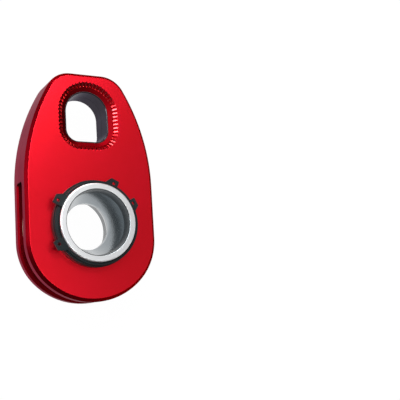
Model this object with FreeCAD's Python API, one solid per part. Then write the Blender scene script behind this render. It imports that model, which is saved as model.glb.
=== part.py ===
"""Hollow-hub snatch block, millimetres.

The block lies on its back on the hub's rear rim. The origin is the middle of the hub, on the plane
between the two cheeks: the hub axis is +Z, the shackle window lies towards +Y, and the rope mouths
open to -X, -Y and +X. Each paired piece is modelled once, for the front side, and turned over for
the rear side.
"""

import FreeCAD, Part
import math
import os

V = FreeCAD.Vector

# Hub: a hollow axle with a flared bore; each wall is measured in from its outside
hub_outer_r = 30.0
hub_rim_wall = 4.8
hub_rim_chamfer = 0.6
hub_end_land = 2.9
bore_lip_depth = 9.0
bore_lip_taper = 1.0
throat_wall = 11.5
throat_length = 7.0

# Cheeks: the side plates
cheek_thickness = 15.9
cheek_split_gap = 0.2
cheek_overhang = 3.2
cheek_foot_swell = 2.7
cheek_foot_drop = 4.3
cheek_hip_centre_x = 6.3
cheek_side_top_y = 31.5
cheek_shoulder_r = 155.0
cheek_corner_r = 20.6
cheek_head_wall = 13.3
cheek_edge_chamfer = 2.6

# Shackle window through both cheeks
window_foot_wall = 3.6
window_height = 41.7
window_half_width = 17.8
window_corner_r = 10.5
window_lead_in = 6.2
window_lead_depth = 4.2
liner_thickness = 0.9
liner_end_chamfer = 0.4

# Flutes across the outer part of the window's lead-in
flute_pitch = 3.05
flute_length = 4.6
flute_run_out = 0.9
flute_edge_depth = 0.35
flute_floor_width = 0.9
flute_flank_slope = 0.85
flute_tilt_deg = 8.0

# Rope mouth and sheave pocket
mouth_bevel = 1.3
pocket_clearance = 12.5
pocket_corner_r = 1.6

# Sheave
rope_d = 10.0
sheave_web = 3.6
groove_depth = 12.4
groove_flare = 0.3
sheave_rim_land = 0.8
sheave_rim_round = 0.25
sheave_side_gap = 0.2
sheave_bush_wall = 2.95
sheave_washer_reach = 4.2
sheave_washer_thickness = 1.6

# Bushes and washers
running_gap = 0.05
axial_play = 0.1
cheek_bush_wall = 1.5
bush_flange_width = 1.95
bush_flange_thickness = 3.0
thrust_washer_thickness = 2.0

# Retaining rings, two to a side in one groove; reaches are measured out from the groove's floor
ring_thickness = 2.0
ring_groove_depth = 1.5
ring_groove_play = 0.15
ring_wide_width = 4.7
ring_thin_width = 3.0
ring_lug_reach = 9.3
ring_lug_hole_reach = 6.0
ring_lug_hole_r = 1.25
ring_lug_gap_side = 3.5
ring_lug_tip_side = 3.5
ring_lug_foot_side = 6.4
ring_lug_round = 0.9
ring_a_gap_deg = 44.9
ring_a_lug_half_deg = 18.1
ring_b_gap_deg = 179.2
ring_b_lug_half_deg = 28.3

# Small lengths for the modelling itself: how far a cutter runs past a face, and how near is touching
cut_overrun = 1.0
touching = 0.01

sheave_half_width = rope_d / 2.0 + groove_flare + sheave_rim_land
mouth_half_gap = sheave_half_width + sheave_side_gap
sheave_bore_r = hub_outer_r + running_gap + sheave_bush_wall
sheave_washer_r = sheave_bore_r + sheave_washer_reach
sheave_washer_seat = sheave_half_width - sheave_washer_thickness + axial_play
groove_bottom_r = sheave_bore_r + sheave_web
sheave_r = groove_bottom_r + groove_depth
pocket_r = sheave_r + pocket_clearance

cheek_face = cheek_split_gap / 2.0 + cheek_thickness
cheek_half_width = sheave_r + cheek_overhang
window_bottom_y = pocket_r + window_foot_wall
window_top_y = window_bottom_y + window_height
cheek_top_y = window_top_y + cheek_head_wall

cheek_bore_r = hub_outer_r + running_gap + cheek_bush_wall
bush_flange_r = cheek_bore_r + bush_flange_width
flange_top = cheek_face + bush_flange_thickness
washer_low = flange_top + axial_play
washer_top = washer_low + thrust_washer_thickness
ring_seat_r = hub_outer_r - ring_groove_depth
ring_a_low = washer_top
ring_b_low = ring_a_low + ring_thickness
rings_top = ring_b_low + ring_thickness
hub_end = rings_top + hub_end_land


def line(a, b):
    return Part.LineSegment(V(*a), V(*b)).toShape()


def arc(a, through, b):
    return Part.Arc(V(*a), V(*through), V(*b)).toShape()


def polar(r, deg, z=0.0, centre=(0.0, 0.0)):
    a = math.radians(deg)
    return (centre[0] + r * math.cos(a), centre[1] + r * math.sin(a), z)


def prism(wire, low, high):
    """Solid between two heights of an outline drawn at z = 0."""
    face = Part.Face(wire)
    face.translate(V(0, 0, low))
    return face.extrude(V(0, 0, high - low))


def ring(inner_r, outer_r, low, high):
    outer = Part.makeCylinder(outer_r, high - low, V(0, 0, low))
    return outer.cut(Part.makeCylinder(inner_r, high - low, V(0, 0, low)))


def turned(points):
    """Solid of revolution about the hub axis from a closed (radius, height) profile."""
    corners = [V(r, 0, z) for r, z in points]
    wire = Part.makePolygon(corners + corners[:1])
    return Part.Face(wire).revolve(V(0, 0, 0), V(0, 0, 1), 360)


def cheek_outline(inset=0.0):
    """Teardrop: foot arc, hip arcs, straight sides, long shoulder arcs, rounded corners, flat top."""
    half = cheek_half_width - inset
    foot = cheek_half_width + cheek_foot_swell - inset
    hip = half - cheek_hip_centre_x
    shoulder = cheek_shoulder_r - inset
    corner = cheek_corner_r - inset
    top = cheek_top_y - inset
    # Each hip arc touches its straight side and, from inside, the foot arc.
    hip_drop = math.sqrt((foot - hip) ** 2 - cheek_hip_centre_x ** 2)
    hip_y = -cheek_foot_drop - hip_drop
    hip_deg = -math.degrees(math.atan2(hip_drop, cheek_hip_centre_x))
    hip_centre = (cheek_hip_centre_x, hip_y)
    shoulder_x = half - shoulder
    corner_y = top - corner
    rise = corner_y - cheek_side_top_y
    corner_x = shoulder_x + math.sqrt((shoulder - corner) ** 2 - rise ** 2)
    shoulder_deg = math.degrees(math.atan2(rise, corner_x - shoulder_x))
    shoulder_centre = (shoulder_x, cheek_side_top_y)
    foot_end = polar(hip, hip_deg, centre=hip_centre)
    hip_mid = polar(hip, hip_deg / 2, centre=hip_centre)
    side_low = (half, hip_y, 0)
    side_top = (half, cheek_side_top_y, 0)
    shoulder_mid = polar(shoulder, shoulder_deg / 2, centre=shoulder_centre)
    shoulder_end = polar(shoulder, shoulder_deg, centre=shoulder_centre)
    corner_mid = polar(corner, (shoulder_deg + 90) / 2, centre=(corner_x, corner_y))
    corner_end = (corner_x, top, 0)

    def other(p):
        return (-p[0], p[1], p[2])

    return Part.Wire([
        arc(other(foot_end), (0, -foot - cheek_foot_drop, 0), foot_end),
        arc(foot_end, hip_mid, side_low),
        line(side_low, side_top),
        arc(side_top, shoulder_mid, shoulder_end),
        arc(shoulder_end, corner_mid, corner_end),
        line(corner_end, other(corner_end)),
        arc(other(corner_end), other(corner_mid), other(shoulder_end)),
        arc(other(shoulder_end), other(shoulder_mid), other(side_top)),
        line(other(side_top), other(side_low)),
        arc(other(side_low), other(hip_mid), other(foot_end)),
    ])


def window_outline(outset=0.0):
    """Arched window: semicircular top, straight sides, flat foot with rounded corners."""
    half = window_half_width + outset
    corner = window_corner_r + outset
    low = window_bottom_y - outset
    arch_y = window_top_y - window_half_width
    corner_x = half - corner
    corner_y = low + corner
    left_mid = polar(corner, 225, centre=(-corner_x, corner_y))
    right_mid = polar(corner, 315, centre=(corner_x, corner_y))
    return Part.Wire([
        line((-corner_x, low, 0), (corner_x, low, 0)),
        arc((corner_x, low, 0), right_mid, (half, corner_y, 0)),
        line((half, corner_y, 0), (half, arch_y, 0)),
        arc((half, arch_y, 0), (0, arch_y + half, 0), (-half, arch_y, 0)),
        line((-half, arch_y, 0), (-half, corner_y, 0)),
        arc((-half, corner_y, 0), left_mid, (-corner_x, low, 0)),
    ])


def lifted(wire, z):
    copy = wire.copy()
    copy.translate(V(0, 0, z))
    return copy


def window_lead_in_cutter():
    """Sloped lead-in, carried on past the face so that the cut is clean."""
    run_on = cut_overrun * window_lead_in / window_lead_depth
    low = lifted(window_outline(), cheek_face - window_lead_depth)
    high = lifted(window_outline(window_lead_in + run_on), cheek_face + cut_overrun)
    return Part.makeLoft([low, high], True, True)


def flute_cutters():
    """Flat-bottomed grooves laid across the lead-in at an even pitch, shallow at its outer edge."""
    path = window_outline(window_lead_in)
    count = int(round(path.Length / flute_pitch))
    # Every second point carries a flute, and the points beside it give the outline's direction.
    points = path.discretize(Number=2 * count + 1)[:-1]
    slope = math.atan2(window_lead_depth, window_lead_in) + math.radians(flute_tilt_deg)
    floor_half = flute_floor_width / 2.0
    top_half = floor_half + flute_flank_slope * (flute_edge_depth + cut_overrun)
    section = [(-floor_half, -flute_edge_depth), (floor_half, -flute_edge_depth),
               (top_half, cut_overrun), (-top_half, cut_overrun)]
    cutters = []
    for i in range(0, len(points), 2):
        along = points[i + 1] - points[i - 1]
        along.normalize()
        outward = V(along.y, -along.x, 0)
        inward_down = outward * -math.cos(slope) + V(0, 0, -math.sin(slope))
        up = outward * -math.sin(slope) + V(0, 0, math.cos(slope))
        start = points[i] + V(0, 0, cheek_face) - inward_down * flute_run_out
        corners = [start + along * a + up * b for a, b in section]
        profile = Part.Face(Part.makePolygon(corners + corners[:1]))
        cutters.append(profile.extrude(inward_down * flute_length))
    return cutters


def sheave_pocket():
    """Round pocket about the hub axis with a rounded corner all round its floor."""
    disc = Part.makeCylinder(pocket_r, 2 * mouth_half_gap, V(0, 0, -mouth_half_gap))
    rims = [e for e in disc.Edges if near(e.BoundBox.ZLength, 0)]
    return disc.makeFillet(pocket_corner_r, rims)


def near(value, target):
    return abs(value - target) < touching


def face_edges(block):
    """The block's edges round its outer face."""
    return [e for e in block.Edges if near(e.BoundBox.ZMin, cheek_face)]


def mouth_edges(body):
    """Edges where the pocket breaks out through the outer wall, above the split plane."""
    outline = cheek_outline()
    edges = []
    for edge in body.Edges:
        box = edge.BoundBox
        middle = edge.valueAt((edge.FirstParameter + edge.LastParameter) / 2.0)
        on_outline = near(outline.distToShape(Part.Vertex(middle.x, middle.y, 0))[0], 0)
        if on_outline and cheek_split_gap < box.ZMax < mouth_half_gap + touching:
            edges.append(edge)
    return edges


def front_cheek():
    body = prism(cheek_outline(), cheek_split_gap / 2.0, cheek_face)
    body = body.makeChamfer(cheek_edge_chamfer, face_edges(body))
    body = body.cut(sheave_pocket())
    body = body.makeChamfer(mouth_bevel, mouth_edges(body))
    body = body.cut(Part.makeCylinder(cheek_bore_r, hub_end))
    body = body.cut(prism(window_outline(), 0, hub_end))
    body = body.cut(window_lead_in_cutter())
    return body.cut(flute_cutters())


def window_liner():
    """Sleeve in the window, bevelled inside its outer end."""
    low = cheek_split_gap / 2.0
    high = cheek_face - window_lead_depth
    inside = window_outline(-liner_thickness)
    sleeve = prism(window_outline(), low, high).cut(prism(inside, low, high))
    mouth = [lifted(inside, high - liner_end_chamfer),
             lifted(window_outline(liner_end_chamfer - liner_thickness), high)]
    return sleeve.cut(Part.makeLoft(mouth, True, True))


def cheek_bush():
    """Sleeve in the cheek's bore with a flange that stands on the cheek's face."""
    inner_r = hub_outer_r + running_gap
    sleeve = ring(inner_r, cheek_bore_r, mouth_half_gap, cheek_face)
    flange = ring(inner_r, bush_flange_r, cheek_face, flange_top)
    return sleeve.fuse(flange).removeSplitter()


def thrust_washer():
    return ring(hub_outer_r + running_gap, bush_flange_r, washer_low, washer_top)


def ring_lug(low, side):
    """One lug along +X: square towards the gap, sloping back into the ring on its other side."""
    tip_r = ring_seat_r + ring_lug_reach
    corners = [(ring_seat_r, -ring_lug_gap_side), (tip_r, -ring_lug_gap_side),
               (tip_r, ring_lug_tip_side), (ring_seat_r + ring_wide_width, ring_lug_foot_side),
               (ring_seat_r, ring_lug_foot_side)]
    outline = Part.makePolygon([V(x, side * y, 0) for x, y in corners + corners[:1]])
    lug = prism(outline, low, low + ring_thickness)
    tips = [e for e in lug.Edges if near(e.BoundBox.XMin, tip_r)
            and near(e.BoundBox.ZLength, ring_thickness)]
    return lug.makeFillet(ring_lug_round, tips)


def retaining_ring(low, gap_deg, lug_half_deg):
    """Tapered ring with two drilled lugs, open between them."""
    high = low + ring_thickness
    hole_circle_r = ring_seat_r + ring_lug_hole_reach
    # The outside is a circle set off from the inside, so the ring thins towards its lugs.
    outer_r = ring_seat_r + (ring_wide_width + ring_thin_width) / 2.0
    offset = (ring_wide_width - ring_thin_width) / 2.0
    body = Part.makeCylinder(outer_r, ring_thickness, V(-offset, 0, low))
    holes = []
    for side in (-1, 1):
        lug = ring_lug(low, side)
        lug.rotate(V(0, 0, 0), V(0, 0, 1), side * lug_half_deg)
        body = body.fuse(lug)
        centre = polar(hole_circle_r, side * lug_half_deg, low)
        holes.append(Part.makeCylinder(ring_lug_hole_r, ring_thickness, V(*centre)))
    body = body.cut(holes + [Part.makeCylinder(ring_seat_r, ring_thickness, V(0, 0, low))])
    open_deg = lug_half_deg - math.degrees(math.asin(ring_lug_gap_side / hole_circle_r))
    far = 2 * (ring_seat_r + ring_lug_reach)
    wedge = Part.Wire([
        line((0, 0, 0), polar(far, -open_deg)),
        arc(polar(far, -open_deg), (far, 0, 0), polar(far, open_deg)),
        line(polar(far, open_deg), (0, 0, 0)),
    ])
    body = body.cut(prism(wedge, low, high)).removeSplitter()
    body.rotate(V(0, 0, 0), V(0, 0, 1), gap_deg)
    return body


def hub():
    """Hollow axle, whole: a ring groove near each end, and a bore that narrows to a straight throat."""
    groove_low = ring_a_low - ring_groove_play
    rim_r = hub_outer_r - hub_rim_wall
    half = [
        (hub_outer_r - throat_wall, throat_length / 2.0),
        (rim_r - bore_lip_taper, hub_end - bore_lip_depth),
        (rim_r, hub_end),
        (hub_outer_r - hub_rim_chamfer, hub_end),
        (hub_outer_r, hub_end - hub_rim_chamfer),
        (hub_outer_r, rings_top),
        (ring_seat_r, rings_top),
        (ring_seat_r, groove_low),
        (hub_outer_r, groove_low),
    ]
    return turned(half + [(r, -z) for r, z in reversed(half)])


def sheave():
    """Rope wheel: round-bottomed groove, flared flanks and a seat for a washer in each side."""
    half_w = sheave_half_width
    groove_r = rope_d / 2.0
    centre_r = groove_bottom_r + groove_r
    rim_half = groove_r + groove_flare
    recess_r = sheave_washer_r + running_gap
    seat = sheave_washer_seat
    tip = sheave_rim_round
    upper = [
        (centre_r, groove_r),
        (sheave_r, rim_half),
        (sheave_r, half_w - tip),
        (sheave_r - tip, half_w),
        (recess_r, half_w),
        (recess_r, seat),
        (sheave_bore_r, seat),
    ]
    outline = upper + [(r, -z) for r, z in reversed(upper)]
    edges = [line((a[0], 0, a[1]), (b[0], 0, b[1])) for a, b in zip(outline, outline[1:])]
    edges.append(arc((centre_r, 0, -groove_r), (groove_bottom_r, 0, 0), (centre_r, 0, groove_r)))
    return Part.Face(Part.Wire(edges)).revolve(V(0, 0, 0), V(0, 0, 1), 360)


def sheave_bush():
    return ring(hub_outer_r + running_gap, sheave_bore_r, -sheave_washer_seat, sheave_washer_seat)


def sheave_washer():
    top = sheave_washer_seat + sheave_washer_thickness
    return ring(hub_outer_r + running_gap, sheave_washer_r, sheave_washer_seat, top)


def turned_over(shape):
    """The rear twin: the front piece turned half a turn about the Y axis."""
    copy = shape.copy()
    copy.rotate(V(0, 0, 0), V(0, 1, 0), 180)
    return copy


def save(name, shape):
    shape.exportStep(os.path.join("parts", name + ".step"))


def main():
    os.makedirs("parts", exist_ok=True)
    paired = {
        "cheek": front_cheek(),
        "window_liner": window_liner(),
        "cheek_bush": cheek_bush(),
        "thrust_washer": thrust_washer(),
        "inner_retaining_ring": retaining_ring(ring_a_low, ring_a_gap_deg, ring_a_lug_half_deg),
        "outer_retaining_ring": retaining_ring(ring_b_low, ring_b_gap_deg, ring_b_lug_half_deg),
        "sheave_washer": sheave_washer(),
    }
    for name, shape in paired.items():
        save("rear_" + name, turned_over(shape))
        save("front_" + name, shape)
    save("hub", hub())
    save("sheave", sheave())
    save("sheave_bush", sheave_bush())


main()
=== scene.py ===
"""Studio picture of a hollow-hub snatch block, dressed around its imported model.

Every sub-assembly is a class that builds its own meshes and gives them their finishes. Sizes are in
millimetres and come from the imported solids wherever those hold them.
"""

import logging
import math
from dataclasses import dataclass, field
from enum import Enum
from typing import Callable, Optional, Sequence, Union

import bmesh
import bpy
from mathutils import Matrix, Vector


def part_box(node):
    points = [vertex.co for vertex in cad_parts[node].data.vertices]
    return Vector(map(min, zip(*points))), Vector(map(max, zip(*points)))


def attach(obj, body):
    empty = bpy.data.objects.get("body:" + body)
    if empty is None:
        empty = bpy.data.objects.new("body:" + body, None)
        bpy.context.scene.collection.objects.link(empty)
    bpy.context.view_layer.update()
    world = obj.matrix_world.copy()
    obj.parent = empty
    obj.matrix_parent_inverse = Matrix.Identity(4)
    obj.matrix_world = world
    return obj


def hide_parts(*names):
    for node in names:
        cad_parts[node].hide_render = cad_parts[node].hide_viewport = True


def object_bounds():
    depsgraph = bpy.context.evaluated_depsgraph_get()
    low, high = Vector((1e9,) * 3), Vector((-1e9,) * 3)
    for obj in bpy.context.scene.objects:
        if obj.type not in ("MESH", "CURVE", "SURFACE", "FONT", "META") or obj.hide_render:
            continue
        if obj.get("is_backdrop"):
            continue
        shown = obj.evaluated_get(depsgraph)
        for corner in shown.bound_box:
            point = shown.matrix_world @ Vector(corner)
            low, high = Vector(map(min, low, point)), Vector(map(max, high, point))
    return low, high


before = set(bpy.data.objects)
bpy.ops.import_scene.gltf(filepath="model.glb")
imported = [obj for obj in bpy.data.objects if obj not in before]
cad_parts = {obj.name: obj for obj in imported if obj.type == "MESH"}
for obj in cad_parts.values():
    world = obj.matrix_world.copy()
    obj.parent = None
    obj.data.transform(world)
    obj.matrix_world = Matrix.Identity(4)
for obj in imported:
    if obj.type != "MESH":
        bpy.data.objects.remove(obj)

MM = 0.001

# Meshes: how near two corners are one, in metres; what counts as flat and as sharp; and how fine
# the turned and rounded forms are
SPUN_WELD = 1e-7
SOLID_WELD = 1e-6
FLAT_DEG = 0.3
SHARP_DEG = 28.0
SPIN_STEPS = 192
ROUNDING_SEGMENTS = 2

# Clearance of the turned fits, in millimetres: round the hub, and round the sheave's washers
RUNNING_GAP = 0.05

# Patches in which a finish drifts, and the stretch of a milled grain along the cut
PATCH_PER_MM = 0.035
PATCH_DETAIL = 3.0
PATCH_EDGES = (0.3, 0.7)
MILLED_STRETCH = 0.06

WHITE = (1.0, 1.0, 1.0, 1.0)

Colour = tuple[float, float, float]
Place = tuple[float, float, float]
Corner = tuple[float, float]
EdgeTest = Callable[[bmesh.types.BMEdge], bool]
log = logging.getLogger("snatch_block")


class Slot(Enum):
    """The record's material slots."""

    RED = "red_anodised"
    HUB = "hub_aluminium"
    SHEAVE = "sheave_aluminium"
    BRONZE = "bearing_bronze"
    BUSH = "black_bush"
    BLACK_STEEL = "black_steel"
    LINER = "liner_steel"


class Side(Enum):
    """The side of the block that a paired piece is on, with the sign of its height."""

    FRONT = ("front", 1.0)
    REAR = ("rear", -1.0)

    @property
    def word(self) -> str:
        """The prefix of the side's node names."""
        return self.value[0]

    @property
    def sign(self) -> float:
        """+1 on the front side, -1 on the rear side."""
        return self.value[1]


class Grain(Enum):
    """How a surface was last worked, with its grain's blobs in each millimetre and their detail."""

    BLASTED = (3.4, 4.0)
    TURNED = (2.2, 3.0)
    MILLED = (2.6, 3.0)
    PLAIN = (1.1, 2.0)

    @property
    def per_mm(self) -> float:
        """Blobs in each millimetre."""
        return self.value[0]

    @property
    def detail(self) -> float:
        """How much finer noise each blob holds."""
        return self.value[1]


class Signal:
    """A shader socket that takes Python arithmetic: each operator adds one Math node."""

    def __init__(self, graph: "Graph", socket: bpy.types.NodeSocket) -> None:
        """Wraps a socket of a graph."""
        self.graph = graph
        self.socket = socket

    def _math(self, operation: str, first: "Value", second: "Value") -> "Signal":
        """Adds a Math node and returns its result."""
        node = self.graph.node("ShaderNodeMath", {"operation": operation}, {0: first, 1: second})
        return Signal(self.graph, node.outputs[0])

    def __add__(self, other: "Value") -> "Signal":
        """self + other."""
        return self._math("ADD", self, other)

    def __radd__(self, other: "Value") -> "Signal":
        """other + self."""
        return self._math("ADD", other, self)

    def __sub__(self, other: "Value") -> "Signal":
        """self - other."""
        return self._math("SUBTRACT", self, other)

    def __rsub__(self, other: "Value") -> "Signal":
        """other - self."""
        return self._math("SUBTRACT", other, self)

    def __mul__(self, other: "Value") -> "Signal":
        """self * other."""
        return self._math("MULTIPLY", self, other)

    def __rmul__(self, other: "Value") -> "Signal":
        """other * self."""
        return self._math("MULTIPLY", other, self)

    def __pow__(self, other: "Value") -> "Signal":
        """self ** other."""
        return self._math("POWER", self, other)

    def rise(self, low: float, high: float) -> "Signal":
        """A smooth step from 0 at low to 1 at high.

        Args:
            low: Value at which the step starts.
            high: Value at which the step is complete.

        Returns:
            The step.
        """
        node = self.graph.node(
            "ShaderNodeMapRange",
            {"interpolation_type": "SMOOTHSTEP"},
            {"Value": self, "From Min": low, "From Max": high},
        )
        return Signal(self.graph, node.outputs["Result"])


Value = Union[Signal, float]


class Graph:
    """A node tree with short ways to add and join nodes."""

    def __init__(self, tree: bpy.types.NodeTree) -> None:
        """Empties the tree and takes it over."""
        self.tree = tree
        self.tree.nodes.clear()

    def node(
        self,
        kind: str,
        settings: Optional[dict] = None,
        inputs: Optional[dict] = None,
    ) -> bpy.types.Node:
        """Adds a node, sets it up and fills its sockets.

        Args:
            kind: The node's type.
            settings: Its properties, set first.
            inputs: A value, a Signal or a socket for each named or numbered input.

        Returns:
            The node.
        """
        node = self.tree.nodes.new(kind)
        for name, value in (settings or {}).items():
            setattr(node, name, value)
        for key, value in (inputs or {}).items():
            if isinstance(value, Signal):
                self.tree.links.new(value.socket, node.inputs[key])
            elif isinstance(value, bpy.types.NodeSocket):
                self.tree.links.new(value, node.inputs[key])
            else:
                node.inputs[key].default_value = value
        return node

    def point(self) -> bpy.types.NodeSocket:
        """The shaded point in the block's own frame, in metres; in a world, the ray's direction."""
        return self.node("ShaderNodeTexCoord").outputs["Object"]

    def axes(self, vector: bpy.types.NodeSocket) -> tuple[Signal, Signal, Signal]:
        """Splits a vector into its three parts."""
        node = self.node("ShaderNodeSeparateXYZ", None, {0: vector})
        return tuple(Signal(self, out) for out in node.outputs)

    def vector(self, x: Value, y: Value, z: Value) -> bpy.types.NodeSocket:
        """Joins three parts into a vector."""
        return self.node("ShaderNodeCombineXYZ", None, {0: x, 1: y, 2: z}).outputs[0]

    def noise(self, vector: bpy.types.NodeSocket, per_mm: float, detail: float) -> Signal:
        """Noise between 0 and 1 with about per_mm blobs in each millimetre."""
        inputs = {"Vector": vector, "Scale": per_mm / MM, "Detail": detail}
        return Signal(self, self.node("ShaderNodeTexNoise", None, inputs).outputs[0])

    def tint(self, mask: Value, first: Colour, second: Colour) -> bpy.types.NodeSocket:
        """Mixes two colours by a mask, through a Mix node's colour sockets."""
        inputs = {0: mask, 6: (*first, 1.0), 7: (*second, 1.0)}
        return self.node("ShaderNodeMix", {"data_type": "RGBA"}, inputs).outputs[2]

    def bump(self, height: Signal, depth_mm: float) -> bpy.types.NodeSocket:
        """A surface normal from a height signal that is depth_mm deep."""
        inputs = {"Strength": 1.0, "Distance": depth_mm * MM, "Height": height}
        return self.node("ShaderNodeBump", None, inputs).outputs[0]


@dataclass(frozen=True)
class MetalFinish:
    """The surface of a metal or plastic piece, with its grain and its drift in colour and gloss.

    Attributes:
        name: The material's name.
        grain: How the surface was last worked.
        colour: Main base colour.
        drift_colour: Base colour of the patches that differ.
        roughness: Mean roughness.
        roughness_swing: How far the roughness varies to each side.
        grain_depth_mm: Height of the grain's bump.
        metallic: 1 for bare or anodised metal, 0 for plastic and for blackened steel.
        coat: Weight of a clear layer on top.
        coat_roughness: Roughness of that layer.
        edge_tint: Colour that a metal keeps at grazing angles.
        specular: Strength of a non-metal's own gloss, 0.5 being usual.
    """

    name: str
    grain: Grain
    colour: Colour
    drift_colour: Colour
    roughness: float
    roughness_swing: float
    grain_depth_mm: float
    metallic: float = 1.0
    coat: float = 0.0
    coat_roughness: float = 0.1
    edge_tint: Colour = (1.0, 1.0, 1.0)
    specular: float = 0.5

    def grain_signal(self, graph: Graph) -> Signal:
        """The fine height pattern that the last tool left.

        Args:
            graph: The material's graph.

        Returns:
            A height between 0 and 1.
        """
        point = graph.point()
        if self.grain is Grain.TURNED:
            x, y, z = graph.axes(point)
            point = graph.vector((x * x + y * y) ** 0.5, z, 0.0)
        elif self.grain is Grain.MILLED:
            x, y, z = graph.axes(point)
            point = graph.vector(MILLED_STRETCH * x, MILLED_STRETCH * y, z)
        return graph.noise(point, self.grain.per_mm, self.grain.detail)

    def material(self) -> bpy.types.Material:
        """Builds the node material.

        Returns:
            The material, ready for an object's slot.
        """
        made = bpy.data.materials.new(self.name)
        made.use_nodes = True
        graph = Graph(made.node_tree)
        grain = self.grain_signal(graph)
        patches = graph.noise(graph.point(), PATCH_PER_MM, PATCH_DETAIL)
        drift = patches.rise(*PATCH_EDGES)
        swing = (patches + grain - 1.0) * self.roughness_swing
        shader = graph.node(
            "ShaderNodeBsdfPrincipled",
            None,
            {
                "Base Color": graph.tint(drift, self.colour, self.drift_colour),
                "Roughness": swing + self.roughness,
                "Metallic": self.metallic,
                "Specular Tint": (*self.edge_tint, 1.0),
                "Specular IOR Level": self.specular,
                "Coat Weight": self.coat,
                "Coat Roughness": self.coat_roughness,
                "Normal": graph.bump(grain, self.grain_depth_mm),
            },
        )
        graph.node("ShaderNodeOutputMaterial", None, {"Surface": shader.outputs[0]})
        return made


RED_BLASTED = MetalFinish(
    "red_anodised_face", Grain.BLASTED, (0.680, 0.001, 0.013), (0.630, 0.001, 0.010),
    roughness=0.32, roughness_swing=0.04, grain_depth_mm=0.005, coat=0.25, coat_roughness=0.27,
    edge_tint=(1.0, 0.35, 0.40),
)
# Painted shade: the chamfer's red is much darker than the face's, standing in for the dark
# surroundings that it reflects.
RED_CHAMFER_PAINTED_SHADE = MetalFinish(
    "red_anodised_chamfer_painted_shade", Grain.MILLED, (0.200, 0.001, 0.005), (0.160, 0.001, 0.004),
    roughness=0.28, roughness_swing=0.04, grain_depth_mm=0.002, edge_tint=(0.50, 0.08, 0.12),
)
# Painted reflection and shade: the walls' red is darker and greyer than the face's, standing in for
# the shaded floor that they reflect at a grazing angle.
RED_WALL_PAINTED_SHADE_AND_REFLECTION = MetalFinish(
    "red_anodised_wall_painted_shade_and_reflection", Grain.MILLED, (0.330, 0.068, 0.084), (0.280, 0.055, 0.070),
    roughness=0.36, roughness_swing=0.05, grain_depth_mm=0.005, edge_tint=(0.42, 0.32, 0.36),
)
# Painted shade: the faces between the two plates are a nearly black red.
RED_INNER_PAINTED_SHADE = MetalFinish(
    "red_anodised_inside_painted_shade", Grain.MILLED, (0.140, 0.001, 0.004), (0.110, 0.001, 0.003),
    roughness=0.50, roughness_swing=0.04, grain_depth_mm=0.002, edge_tint=(0.40, 0.06, 0.10),
)
# Painted shade: the window's lead-in is a much darker red than the face.
RED_LEAD_IN_PAINTED_SHADE = MetalFinish(
    "red_anodised_lead_in_painted_shade", Grain.PLAIN, (0.120, 0.001, 0.003), (0.100, 0.001, 0.002),
    roughness=0.52, roughness_swing=0.04, grain_depth_mm=0.002, edge_tint=(0.60, 0.10, 0.14),
)
# Painted shade: the flutes are a darker red than the face, for the shade in their grooves.
RED_FLUTED_PAINTED_SHADE = MetalFinish(
    "red_anodised_flute_painted_shade", Grain.PLAIN, (0.400, 0.002, 0.008), (0.340, 0.001, 0.006),
    roughness=0.24, roughness_swing=0.03, grain_depth_mm=0.002, coat=0.7, coat_roughness=0.12,
)
HUB_TURNED = MetalFinish(
    "hub_turned", Grain.TURNED, (0.74, 0.75, 0.76), (0.69, 0.70, 0.72),
    roughness=0.35, roughness_swing=0.05, grain_depth_mm=0.006,
)
# Painted shade: the bore's lip is a nearly black copy of the hub's aluminium; on the broken edge
# inside each rim it also paints a dark line.
HUB_LIP_PAINTED_SHADE = MetalFinish(
    "hub_bored_lip_painted_shade", Grain.TURNED, (0.120, 0.132, 0.140), (0.090, 0.102, 0.110),
    roughness=0.24, roughness_swing=0.06, grain_depth_mm=0.008,
)
# Painted shade: the bore's cone and throat are darker than the hub's outside.
HUB_CONE_PAINTED_SHADE = MetalFinish(
    "hub_bored_cone_painted_shade", Grain.TURNED, (0.36, 0.39, 0.41), (0.30, 0.33, 0.35),
    roughness=0.12, roughness_swing=0.07, grain_depth_mm=0.010,
)
SHEAVE_TURNED = MetalFinish(
    "sheave_turned", Grain.TURNED, (0.80, 0.74, 0.66), (0.72, 0.65, 0.56),
    roughness=0.30, roughness_swing=0.07, grain_depth_mm=0.012,
)
BRONZE_PLAIN = MetalFinish(
    "bearing_bronze", Grain.TURNED, (0.55, 0.38, 0.18), (0.46, 0.30, 0.13),
    roughness=0.38, roughness_swing=0.06, grain_depth_mm=0.010,
)
BLACK_STEEL = MetalFinish(
    "black_phosphated_steel", Grain.PLAIN, (0.007, 0.010, 0.011), (0.004, 0.006, 0.007),
    roughness=0.38, roughness_swing=0.08, grain_depth_mm=0.006, metallic=0.0, specular=0.13,
)
BLACK_PLASTIC = MetalFinish(
    "black_bearing_plastic", Grain.TURNED, (0.007, 0.009, 0.011), (0.005, 0.006, 0.007),
    roughness=0.40, roughness_swing=0.06, grain_depth_mm=0.008, metallic=0.0, specular=0.25,
)
DARK_LINER = MetalFinish(
    "dark_liner_steel", Grain.MILLED, (0.050, 0.046, 0.052), (0.036, 0.032, 0.037),
    roughness=0.24, roughness_swing=0.06, grain_depth_mm=0.006, edge_tint=(0.56, 0.55, 0.60),
)


class Finishes:
    """Builds each finish's material once and hands it out."""

    def __init__(self) -> None:
        """Starts with no material made."""
        self._made: dict[str, bpy.types.Material] = {}

    def of(self, finish: MetalFinish) -> bpy.types.Material:
        """The material of a finish, made on first use."""
        if finish.name not in self._made:
            self._made[finish.name] = finish.material()
        return self._made[finish.name]


def in_scene(name: str, data: bpy.types.ID) -> bpy.types.Object:
    """A new object that holds the data and is linked to the scene."""
    made = bpy.data.objects.new(name, data)
    bpy.context.scene.collection.objects.link(made)
    return made


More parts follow.
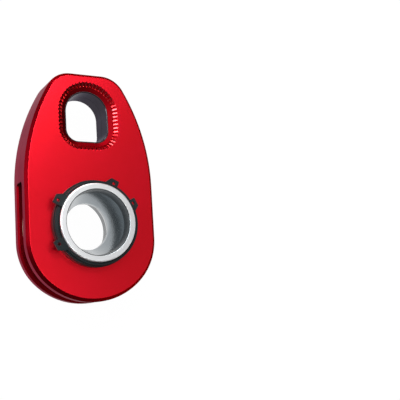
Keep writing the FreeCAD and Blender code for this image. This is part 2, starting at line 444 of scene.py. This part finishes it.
def soften_edges(
    bm: bmesh.types.BMesh, width_mm: float, wanted: Optional[EdgeTest] = None
) -> None:
    """Rounds the sharp edges of a mesh.

    Args:
        bm: The mesh.
        width_mm: Width of the rounding on each side of the edge.
        wanted: Says whether an edge is rounded; without it, every sharp edge is.
    """
    limit = math.radians(SHARP_DEG)
    sharp = [e for e in bm.edges if e.is_manifold and e.calc_face_angle() > limit]
    bmesh.ops.bevel(
        bm, geom=[e for e in sharp if wanted is None or wanted(e)], offset=width_mm * MM,
        offset_type="OFFSET", segments=ROUNDING_SEGMENTS, profile=0.5, affect="EDGES",
        material=-1, clamp_overlap=True,
    )


def assign_finishes(
    bm: bmesh.types.BMesh,
    kinds: Sequence[MetalFinish],
    finish_of: Callable[[bmesh.types.BMFace], MetalFinish],
) -> None:
    """Gives each face the index of its finish.

    Args:
        bm: The mesh.
        kinds: The piece's finishes, in the order of its material slots.
        finish_of: Takes a face and says which of them it has.
    """
    bm.normal_update()
    for face in bm.faces:
        face.material_index = kinds.index(finish_of(face))


def to_object(bm: bmesh.types.BMesh, name: str) -> bpy.types.Object:
    """Turns a bmesh into a smooth-shaded object whose sharp edges stay sharp.

    Args:
        bm: The mesh, freed here.
        name: Name of the new object.

    Returns:
        The object, at the origin and unturned.
    """
    limit = math.radians(SHARP_DEG)
    bm.normal_update()
    for face in bm.faces:
        face.smooth = True
    for edge in bm.edges:
        edge.smooth = edge.is_manifold and edge.calc_face_angle(0.0) < limit
    mesh = bpy.data.meshes.new(name)
    bm.to_mesh(mesh)
    bm.free()
    piece = in_scene(name, mesh)
    weighted = piece.modifiers.new("flat faces stay flat", "WEIGHTED_NORMAL")
    weighted.keep_sharp = True
    return piece


def solid_copy(node: str) -> bmesh.types.BMesh:
    """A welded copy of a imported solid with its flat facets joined.

    Args:
        node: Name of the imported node.

    Returns:
        The copy as a bmesh.
    """
    bm = bmesh.new()
    bm.from_mesh(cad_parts[node].data)
    bmesh.ops.remove_doubles(bm, verts=bm.verts, dist=SOLID_WELD)
    bmesh.ops.dissolve_limit(
        bm, angle_limit=math.radians(FLAT_DEG), verts=bm.verts, edges=bm.edges
    )
    return bm


def mirrored(outline: Sequence[Corner]) -> list[Corner]:
    """The corners' twins below the middle plane, in the order that carries the outline on."""
    return [(r, -z) for r, z in reversed(outline)]


def spun(outline: Sequence[Corner], round_mm: float) -> bmesh.types.BMesh:
    """Turns a closed outline about the hub axis and softens its corners.

    Args:
        outline: (radius, height) corners in millimetres.
        round_mm: Width of the corner rounding.

    Returns:
        The turned solid as a bmesh.
    """
    bm = bmesh.new()
    verts = [bm.verts.new((r * MM, 0.0, z * MM)) for r, z in outline]
    edges = [bm.edges.new(pair) for pair in zip(verts, verts[1:] + verts[:1])]
    bmesh.ops.spin(
        bm, geom=verts + edges, cent=(0, 0, 0), axis=(0, 0, 1), angle=2 * math.pi,
        steps=SPIN_STEPS, use_merge=True, use_duplicate=False,
    )
    bmesh.ops.remove_doubles(bm, verts=bm.verts, dist=SPUN_WELD)
    bmesh.ops.recalc_face_normals(bm, faces=bm.faces)
    soften_edges(bm, round_mm)
    return bm


def dress(
    piece: bpy.types.Object,
    node: str,
    body: str,
    materials: Sequence[bpy.types.Material],
) -> None:
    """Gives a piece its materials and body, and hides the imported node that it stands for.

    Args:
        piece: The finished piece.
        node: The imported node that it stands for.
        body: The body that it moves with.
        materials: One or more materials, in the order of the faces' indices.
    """
    for material in materials:
        piece.data.materials.append(material)
    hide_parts(node)
    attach(piece, body)
    log.info("%s: %d faces, rides on %s", piece.name, len(piece.data.polygons), body)


def span(node: str) -> tuple[float, float, float]:
    """Lowest height, highest height and outer radius of a turned node, in millimetres."""
    low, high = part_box(node)
    return low.z / MM, high.z / MM, max(high.x, high.y) / MM


def hub_clearance_r() -> float:
    """Inner radius of what turns on the hub, in millimetres."""
    return span("hub")[2] + RUNNING_GAP


def flat_ring(node: str, round_mm: float) -> bmesh.types.BMesh:
    """A washer or plain bush on the hub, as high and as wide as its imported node.

    Args:
        node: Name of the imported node.
        round_mm: Width of the corner rounding.

    Returns:
        The ring as a bmesh.
    """
    low, high, outer_r = span(node)
    inner_r = hub_clearance_r()
    return spun([(inner_r, low), (outer_r, low), (outer_r, high), (inner_r, high)], round_mm)


@dataclass
class HubAssembly:
    """The hollow axle with its thrust washers and retaining rings.

    Attributes:
        finishes: Where the materials come from.
        rim_wall: Wall at each rim, from the outside to the bore.
        lip_depth: Length of the nearly straight lip inside each rim.
        lip_taper: How far the lip narrows over its length.
        throat_wall: Wall at the narrow throat.
        throat_length: Length of the throat.
        rim_chamfer: Chamfer outside each rim.
        lip_chamfer: Broken edge inside each rim.
        groove_depth: Depth of the groove that holds a side's two rings.
        groove_play: Play of the rings in that groove.
        edge_round: Rounding of the hub's machined corners.
        washer_round: Rounding of a thrust washer's edges.
        stamped_round: Rounding of a retaining ring's edges.
    """

    finishes: Finishes
    rim_wall: float = 4.8
    lip_depth: float = 9.0
    lip_taper: float = 1.0
    throat_wall: float = 11.5
    throat_length: float = 7.0
    rim_chamfer: float = 0.6
    lip_chamfer: float = 0.5
    groove_depth: float = 1.5
    groove_play: float = 0.15
    edge_round: float = 0.12
    washer_round: float = 0.2
    stamped_round: float = 0.18

    def hub(self) -> None:
        """The axle: flat rims, a ring groove near each end, and a bore that narrows to its throat."""
        _, end, outer_r = span("hub")
        ring_low = span("front_inner_retaining_ring")[0]
        ring_top = span("front_outer_retaining_ring")[1]
        rim_r = outer_r - self.rim_wall
        half = [
            (outer_r - self.throat_wall, self.throat_length / 2),
            (rim_r - self.lip_taper, end - self.lip_depth),
            (rim_r, end - self.lip_chamfer),
            (rim_r + self.lip_chamfer, end),
            (outer_r - self.rim_chamfer, end),
            (outer_r, end - self.rim_chamfer),
            (outer_r, ring_top),
            (outer_r - self.groove_depth, ring_top),
            (outer_r - self.groove_depth, ring_low - self.groove_play),
            (outer_r, ring_low - self.groove_play),
        ]
        bm = spun(half + mirrored(half), self.edge_round)
        kinds = (HUB_TURNED, HUB_LIP_PAINTED_SHADE, HUB_CONE_PAINTED_SHADE)
        assign_finishes(bm, kinds, lambda face: self.finish_of(face, rim_r, end))
        materials = [self.finishes.of(kind) for kind in kinds]
        dress(to_object(bm, "hub_turned"), "hub", "hub", materials)

    def finish_of(self, face: bmesh.types.BMFace, rim_r: float, end: float) -> MetalFinish:
        """The finish of a face of the hub: outside, or painted shade on the lip and on the cone with
        throat.

        Args:
            face: The face.
            rim_r: The bore's radius at the rim, in millimetres.
            end: Height of the rim, in millimetres.

        Returns:
            The finish.
        """
        middle = face.calc_center_median() / MM
        looks_out = middle.x * face.normal.x + middle.y * face.normal.y > 0
        if looks_out or middle.xy.length > rim_r + self.lip_chamfer:
            return HUB_TURNED
        # The lip's and the cone's darker colours are painted shade inside the bore.
        return HUB_LIP_PAINTED_SHADE if abs(middle.z) > end - self.lip_depth else HUB_CONE_PAINTED_SHADE

    def thrust_washer(self, side: Side) -> None:
        """The flat black washer between a cheek bush and the rings."""
        node = side.word + "_thrust_washer"
        piece = to_object(flat_ring(node, self.washer_round), node + "_turned")
        dress(piece, node, "hub", [self.finishes.of(BLACK_STEEL)])

    def retaining_ring(self, side: Side, place: str) -> None:
        """A lugged spring ring with its stamped edges softened."""
        node = f"{side.word}_{place}_retaining_ring"
        bm = solid_copy(node)
        soften_edges(bm, self.stamped_round)
        piece = to_object(bm, node + "_stamped")
        dress(piece, node, "hub", [self.finishes.of(BLACK_STEEL)])

    def build(self) -> None:
        """Builds the hub and what is fixed on it."""
        self.hub()
        for side in Side:
            self.thrust_washer(side)
            for place in ("inner", "outer"):
                self.retaining_ring(side, place)


@dataclass
class CheekAssembly:
    """One side plate with its window liner and flanged bush.

    A lean is the height part of a face's unit normal: 0 on a wall and 1 on a level face.

    Attributes:
        side: Front or rear.
        finishes: Where the materials come from.
        lead_in: Reach of the window's lead-in beyond its liner, with a little to spare.
        lead_in_lean: Lean of the lead-in's cone.
        lean_play: How far from that a face of the cone may be.
        wall_lean: Greatest lean of a wall.
        rounding_lean: Least lean of the rounding beside the outline's chamfer.
        flat_lean: Least lean of a level face.
        face_play: How far under the face an edge may lie and count as on it.
        edge_round: Rounding beside the outline's chamfer.
        bush_wall: Wall of the bush's sleeve.
        bush_round: Rounding of the bush's corners.
    """

    side: Side
    finishes: Finishes
    lead_in: float = 6.3
    lead_in_lean: float = 0.828
    lean_play: float = 0.02
    wall_lean: float = 0.2
    rounding_lean: float = 0.8
    flat_lean: float = 0.995
    face_play: float = 0.1
    edge_round: float = 0.3
    bush_wall: float = 1.5
    bush_round: float = 0.25

    @property
    def body(self) -> str:
        """The body that the side's pieces move with."""
        return self.side.word + "_cheek"

    def cheek(self) -> None:
        """The red plate: blasted face; milled chamfer, walls, window lead-in, flutes and inside faces
        in darker copies of the red that are painted shade, the walls' also painted reflection.
        """
        low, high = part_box(self.body)
        face_z = max(abs(low.z), abs(high.z))
        liner_low, liner_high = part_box(self.side.word + "_window_liner")
        reach = Vector((self.lead_in, self.lead_in)) * MM
        window_low, window_high = liner_low.xy - reach, liner_high.xy + reach

        def in_window(point: Vector) -> bool:
            """True at a point of the window or its lead-in."""
            inside_x = window_low.x < point.x < window_high.x
            return inside_x and window_low.y < point.y < window_high.y

        def on_face(edge: bmesh.types.BMEdge) -> bool:
            """True on an edge of the outer face, away from the window."""
            middle = (edge.verts[0].co + edge.verts[1].co) / 2
            flat = any(abs(face.normal.z) > self.flat_lean for face in edge.link_faces)
            outer = abs(middle.z) > face_z - self.face_play * MM
            return flat and outer and not in_window(middle)

        def finish_of(face: bmesh.types.BMFace) -> MetalFinish:
            """The finish of a face by where it lies and how it leans; all but the face's own red are
            darker copies that paint shade, and the walls' also paints reflection.
            """
            middle, lean = face.calc_center_median(), abs(face.normal.z)
            if lean < self.wall_lean and not in_window(middle):
                return RED_WALL_PAINTED_SHADE_AND_REFLECTION
            if abs(middle.z) < face_z / 2:
                return RED_INNER_PAINTED_SHADE
            if lean > self.flat_lean:
                return RED_BLASTED
            if in_window(middle):
                on_cone = abs(lean - self.lead_in_lean) < self.lean_play
                return RED_LEAD_IN_PAINTED_SHADE if on_cone else RED_FLUTED_PAINTED_SHADE
            return RED_BLASTED if lean > self.rounding_lean else RED_CHAMFER_PAINTED_SHADE

        bm = solid_copy(self.body)
        soften_edges(bm, self.edge_round, on_face)
        kinds = (RED_BLASTED, RED_CHAMFER_PAINTED_SHADE, RED_WALL_PAINTED_SHADE_AND_REFLECTION, RED_LEAD_IN_PAINTED_SHADE, RED_FLUTED_PAINTED_SHADE, RED_INNER_PAINTED_SHADE)
        assign_finishes(bm, kinds, finish_of)
        materials = [self.finishes.of(kind) for kind in kinds]
        dress(to_object(bm, self.body + "_plate"), self.body, self.body, materials)

    def window_liner(self) -> None:
        """The dark sleeve that lines the window."""
        node = self.side.word + "_window_liner"
        piece = to_object(solid_copy(node), node + "_sleeve")
        dress(piece, node, self.body, [self.finishes.of(DARK_LINER)])

    def bush(self) -> None:
        """The black bush with its flange on the cheek's face."""
        node = self.side.word + "_cheek_bush"
        low, high, flange_r = span(node)
        cheek_low, cheek_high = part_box(self.body)
        if self.side.sign > 0:
            inner_z, outer_z, face_z = low, high, cheek_high.z / MM
        else:
            inner_z, outer_z, face_z = high, low, cheek_low.z / MM
        inner_r = hub_clearance_r()
        sleeve_r = inner_r + self.bush_wall
        outline = [
            (inner_r, inner_z), (sleeve_r, inner_z), (sleeve_r, face_z),
            (flange_r, face_z), (flange_r, outer_z), (inner_r, outer_z),
        ]
        piece = to_object(spun(outline, self.bush_round), node + "_moulded")
        dress(piece, node, self.body, [self.finishes.of(BLACK_PLASTIC)])

    def build(self) -> None:
        """Builds the side's three pieces."""
        self.cheek()
        self.window_liner()
        self.bush()


@dataclass
class SheaveAssembly:
    """The rope wheel with its bush and side washers.

    Attributes:
        finishes: Where the materials come from.
        rope_d: Diameter of the rope that the groove is cut for.
        groove_bottom_r: Radius at the groove's bottom.
        groove_flare: How far each groove flank leans out at the rim.
        rim_round: Corner at the rim.
        bore_r: Radius of the sheave's bore.
        edge_round: Rounding of the sheave's machined corners.
        ring_round: Rounding of the bush's and washers' edges.
        arc_steps: Straight steps in the groove's half circle.
    """

    finishes: Finishes
    rope_d: float = 10.0
    groove_bottom_r: float = 36.6
    groove_flare: float = 0.3
    rim_round: float = 0.25
    bore_r: float = 33.0
    edge_round: float = 0.1
    ring_round: float = 0.15
    arc_steps: int = 14

    def sheave(self) -> None:
        """The rope wheel with its round-bottomed groove and a washer seat in each side."""
        _, half_w, outer_r = span("sheave")
        seat = span("sheave_bush")[1]
        recess_r = span("front_sheave_washer")[2] + RUNNING_GAP
        groove_r = self.rope_d / 2
        centre_r = self.groove_bottom_r + groove_r
        tip = self.rim_round
        flank = [
            (outer_r, groove_r + self.groove_flare), (outer_r, half_w - tip),
            (outer_r - tip, half_w), (recess_r, half_w), (recess_r, seat), (self.bore_r, seat),
        ]
        turns = [math.pi * i / self.arc_steps for i in range(self.arc_steps + 1)]
        groove = [(centre_r - groove_r * math.sin(t), -groove_r * math.cos(t)) for t in turns]
        piece = to_object(
            spun(groove + flank + mirrored(flank), self.edge_round), "sheave_turned_wheel"
        )
        dress(piece, "sheave", "sheave", [self.finishes.of(SHEAVE_TURNED)])

    def plain_ring(self, node: str) -> None:
        """A bush or washer of bearing bronze inside the sheave."""
        piece = to_object(flat_ring(node, self.ring_round), node + "_ring")
        dress(piece, node, "sheave", [self.finishes.of(BRONZE_PLAIN)])

    def build(self) -> None:
        """Builds the sheave and its bearing pieces."""
        self.sheave()
        for node in ("sheave_bush", "front_sheave_washer", "rear_sheave_washer"):
            self.plain_ring(node)


@dataclass(frozen=True)
class Softbox:
    """A square or oblong studio lamp.

    Attributes:
        name: The lamp's name.
        place: Where it stands, in metres.
        size: Length of its level side, in metres.
        power: Watts.
        share: Length of its other side as a share of the level one.
    """

    name: str
    place: Place
    size: float
    power: float
    share: float = 1.0

    def build(self) -> None:
        """Makes the lamp and turns it to the block."""
        data = bpy.data.lights.new(self.name, "AREA")
        data.shape = "RECTANGLE"
        data.size = self.size
        data.size_y = self.size * self.share
        data.energy = self.power
        lamp = in_scene(self.name, data)
        lamp.location = self.place
        lamp.rotation_euler = Vector(self.place).to_track_quat("Z", "Y").to_euler()


@dataclass
class Studio:
    """Camera, lamps, world and floor.

    Attributes:
        camera_place: Where the camera stands, in millimetres.
        camera_aim: A point on its axis, in millimetres.
        camera_up: The direction that is up in the picture.
        lens_mm: Focal length.
        sensor_mm: Width of the camera's sensor.
        sight: How far the camera sees, in metres.
        floor_half: Half the floor's width, in metres.
        floor_white: The floor's own light towards the camera.
        floor_gloss_white: The floor's own light in reflections.
        floor_colour: The floor's colour.
        world_low: Strength of the surrounding light near the horizon.
        world_high: Strength of the surrounding light overhead.
        world_rise: Heights of a ray's unit direction between which the one becomes the other.
        lamps: The softboxes.
    """

    camera_place: Place = (-203.9, -74.3, 542.5)
    camera_aim: Place = (104.25, 23.3, 0.0)
    camera_up: Place = (-0.0168, 0.9857, 0.1679)
    lens_mm: float = 66.12
    sensor_mm: float = 36.0
    sight: float = 50.0
    floor_half: float = 6.0
    floor_white: float = 0.985
    floor_gloss_white: float = 0.85
    floor_colour: Colour = (0.90, 0.90, 0.90)
    world_low: float = 0.12
    world_high: float = 0.44
    world_rise: tuple[float, float] = (0.05, 0.9)
    lamps: Sequence[Softbox] = field(default_factory=lambda: (
        Softbox("key_softbox", (-0.16, 0.84, 1.08), 0.76, 15.0),
        Softbox("highlight_softbox", (0.16, 0.60, 1.08), 0.20, 1.5),
        Softbox("left_softbox", (-0.40, -0.40, 1.15), 0.60, 3.0),
        Softbox("foot_softbox", (-0.04, -0.28, 1.22), 0.40, 4.0),
        Softbox("window_side_softbox", (-1.00, 0.46, 0.75), 1.05, 22.0, 0.34),
        Softbox("flute_softbox", (-0.12, 1.05, 0.36), 0.90, 10.0, 0.4),
        Softbox("right_softbox", (1.1, -0.5, 0.9), 0.5, 1.5),
    ))

    def camera(self) -> None:
        """Places the camera at the photograph's viewing angle."""
        place, aim = Vector(self.camera_place) * MM, Vector(self.camera_aim) * MM
        back = (place - aim).normalized()
        right = Vector(self.camera_up).cross(back).normalized()
        up = back.cross(right)
        data = bpy.data.cameras.new("camera")
        data.lens = self.lens_mm
        data.sensor_width = self.sensor_mm
        data.clip_end = self.sight
        camera = in_scene("camera", data)
        turn = Matrix((right, up, back)).transposed().to_4x4()
        camera.matrix_world = Matrix.Translation(place) @ turn
        bpy.context.scene.camera = camera

    def world(self) -> None:
        """White to the camera; to everything else, plain light that fades towards the horizon."""
        world = bpy.data.worlds.new("studio")
        world.use_nodes = True
        bpy.context.scene.world = world
        graph = Graph(world.node_tree)
        up = graph.axes(graph.point())[2]
        level = up.rise(*self.world_rise) * (self.world_high - self.world_low) + self.world_low
        seen = graph.node("ShaderNodeLightPath").outputs["Is Camera Ray"]
        white = graph.node("ShaderNodeBackground", None, {"Color": WHITE, "Strength": 1.0})
        plain = graph.node("ShaderNodeBackground", None, {"Color": WHITE, "Strength": level})
        inputs = {0: seen, 1: plain.outputs[0], 2: white.outputs[0]}
        mix = graph.node("ShaderNodeMixShader", None, inputs)
        graph.node("ShaderNodeOutputWorld", None, {"Surface": mix.outputs[0]})

    def floor(self) -> None:
        """A white floor that the block lies on, with its shadow kept."""
        bm = bmesh.new()
        level = Matrix.Translation((0, 0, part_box("hub")[0].z))
        bmesh.ops.create_grid(
            bm, x_segments=1, y_segments=1, size=self.floor_half, matrix=level
        )
        mesh = bpy.data.meshes.new("floor")
        bm.to_mesh(mesh)
        bm.free()
        floor = in_scene("floor", mesh)
        made = bpy.data.materials.new("floor_white")
        made.use_nodes = True
        graph = Graph(made.node_tree)
        path = graph.node("ShaderNodeLightPath")
        seen = Signal(graph, path.outputs["Is Camera Ray"])
        reflected = Signal(graph, path.outputs["Is Glossy Ray"])
        through = Signal(graph, path.outputs["Is Transmission Ray"])
        matt = graph.node("ShaderNodeBsdfDiffuse", None, {"Color": (*self.floor_colour, 1.0)})
        glow = graph.node("ShaderNodeEmission", None, {"Color": WHITE, "Strength": 1.0})
        share = seen * self.floor_white + (reflected + through) * self.floor_gloss_white
        inputs = {0: share, 1: matt.outputs[0], 2: glow.outputs[0]}
        mix = graph.node("ShaderNodeMixShader", None, inputs)
        graph.node("ShaderNodeOutputMaterial", None, {"Surface": mix.outputs[0]})
        mesh.materials.append(made)
        floor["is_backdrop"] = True

    def build(self) -> None:
        """Sets up the whole studio."""
        bpy.context.scene.view_settings.view_transform = "Standard"
        self.camera()
        self.world()
        self.floor()
        for lamp in self.lamps:
            lamp.build()


def main(cad_box: tuple[Vector, Vector]) -> None:
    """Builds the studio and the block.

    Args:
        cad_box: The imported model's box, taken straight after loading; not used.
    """
    Studio().build()
    finishes = Finishes()
    HubAssembly(finishes).build()
    for side in Side:
        CheekAssembly(side, finishes).build()
    SheaveAssembly(finishes).build()


if __name__ == "__main__":
    logging.basicConfig(level=logging.INFO)
    main(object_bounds())
